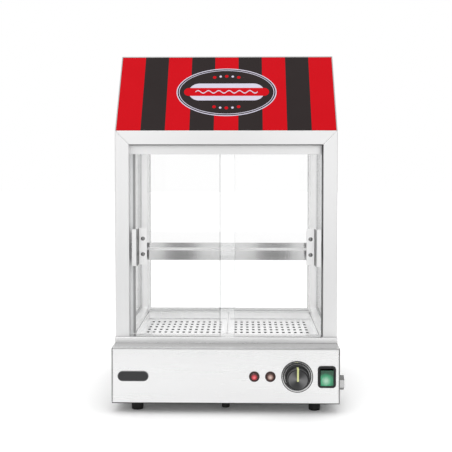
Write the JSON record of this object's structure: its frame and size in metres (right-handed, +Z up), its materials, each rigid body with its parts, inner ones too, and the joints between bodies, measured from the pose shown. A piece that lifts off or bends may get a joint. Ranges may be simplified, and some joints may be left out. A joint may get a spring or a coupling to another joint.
{
  "type": "hot dog steamer",
  "caption": "Countertop steamer with a glass cabinet, sliding doors, perforated trays over a heated water tank, a shelf and a striped sloping roof.",
  "frame": {"origin": "centre of the whole part's footprint, on the surface that the feet stand on", "axes": "+Z up, front with the doors and controls towards -Y, +X to the right seen from the front"},
  "size_m": [0.334, 0.345, 0.515],
  "materials": {
    "base_steel": "satin, fine level brushing",
    "deck_steel": "bright satin",
    "rubber": "moulded, matt",
    "seal_rubber": "extruded strip, matt",
    "screw_steel": "plain bright",
    "tank_steel": "satin",
    "heater_steel": "heat-tinted",
    "ceramic": "moulded",
    "copper": "plain",
    "black_plastic": "moulded, semi-gloss",
    "red_lens": "clear coloured",
    "amber_lens": "clear coloured",
    "green_lens": "clear coloured",
    "dial_metal": "turned",
    "spindle_steel": "turned",
    "badge_dark": "gloss, blank",
    "drain_metal": "plated",
    "frame_steel": "satin, brushed along the tube",
    "clear_glass": "clear",
    "door_glass": "clear, ground edges",
    "track_metal": "satin",
    "ceiling_steel": "satin",
    "handle_steel": "satin",
    "shelf_steel": "bright satin",
    "tray_steel": "bright satin",
    "sign_paint": "printed, gloss",
    "roof_steel": "satin"
  },
  "bodies": {
    "root": {"base_front": "base_steel", "base_back": "base_steel", "base_sides": "base_steel", "bottom_plate": "base_steel", "deck_plate": "deck_steel", "rubber_feet": "rubber", "glazing_seals": "seal_rubber", "foot_screws": "screw_steel", "water_tank": "tank_steel", "heating_element": "heater_steel", "thermostat_body": "ceramic", "overheat_cutout": "ceramic", "terminal_block": "ceramic", "thermostat_bulb": "copper", "pilot_bezels": "black_plastic", "switch_housing": "black_plastic", "cable_gland": "black_plastic", "pilot_lens_red": "red_lens", "pilot_lens_amber": "amber_lens", "dial_ring": "dial_metal", "badge_plate": "badge_dark", "drain_spout": "drain_metal", "front_sill": "frame_steel", "front_post_left": "frame_steel", "front_post_right": "frame_steel", "front_header": "frame_steel", "back_sill": "frame_steel", "back_post_left": "frame_steel", "back_post_right": "frame_steel", "back_header": "frame_steel", "side_sill_left": "frame_steel", "side_sill_right": "frame_steel", "side_rail_left": "frame_steel", "side_rail_right": "frame_steel", "side_glass_left": "clear_glass", "side_glass_right": "clear_glass", "back_glass": "clear_glass", "top_track": "track_metal", "bottom_track": "track_metal", "ceiling_panel": "ceiling_steel", "shelf_brackets": "shelf_steel", "sign_panel_front": "sign_paint", "sign_panel_back": "sign_paint", "roof_top": "roof_steel", "roof_end_left": "roof_steel", "roof_end_right": "roof_steel"},
    "door_left": {"door_glass_left": "door_glass", "door_handle_left": "handle_steel", "handle_screws_left": "screw_steel"},
    "door_right": {"door_glass_right": "door_glass", "door_handle_right": "handle_steel", "handle_screws_right": "screw_steel"},
    "knob": {"control_knob": "black_plastic", "knob_spindle": "spindle_steel"},
    "rocker": {"switch_rocker": "green_lens"},
    "washer": {"drain_washer": "seal_rubber"},
    "plug": {"drain_plug": "drain_metal"},
    "tray_left": {"tray_left": "tray_steel"},
    "tray_right": {"tray_right": "tray_steel"},
    "shelf": {"shelf_pan": "shelf_steel"}
  },
  "joints": [
    {"name": "door_left_slide", "type": "slide", "parent": "root", "child": "door_left", "axis": [1, 0, 0], "range_m": [0, 0.052]},
    {"name": "door_right_slide", "type": "slide", "parent": "root", "child": "door_right", "axis": [-1, 0, 0], "range_m": [0, 0.052]},
    {"name": "knob_turn", "type": "hinge", "parent": "root", "child": "knob", "pos_m": [0.0948, -0.1605, 0.0535], "axis": [0, 1, 0], "range_deg": [0, 270]},
    {"name": "switch_rock", "type": "hinge", "parent": "root", "child": "rocker", "pos_m": [0.1364, -0.15, 0.0535], "axis": [-1, 0, 0], "range_deg": [0, 12]},
    {"name": "washer_slide", "type": "slide", "parent": "root", "child": "washer", "axis": [1, 0, 0], "range_m": [0, 0.0075]},
    {"name": "plug_turn", "type": "hinge", "parent": "washer", "child": "plug", "pos_m": [0.164, -0.0915, 0.03], "axis": [1, 0, 0], "range_deg": [0, 1800]},
    {"name": "tray_left_lift", "type": "slide", "parent": "root", "child": "tray_left", "axis": [0, 0, 1], "range_m": [0, 0.04]},
    {"name": "tray_right_lift", "type": "slide", "parent": "root", "child": "tray_right", "axis": [0, 0, 1], "range_m": [0, 0.04]},
    {"name": "shelf_lift", "type": "slide", "parent": "root", "child": "shelf", "axis": [0, 0, 1], "range_m": [0, 0.03]}
  ],
  "couplings": [
    {"joint": "plug_turn", "follows": "washer_slide", "rad_per_m": 4188.8}
  ]
}
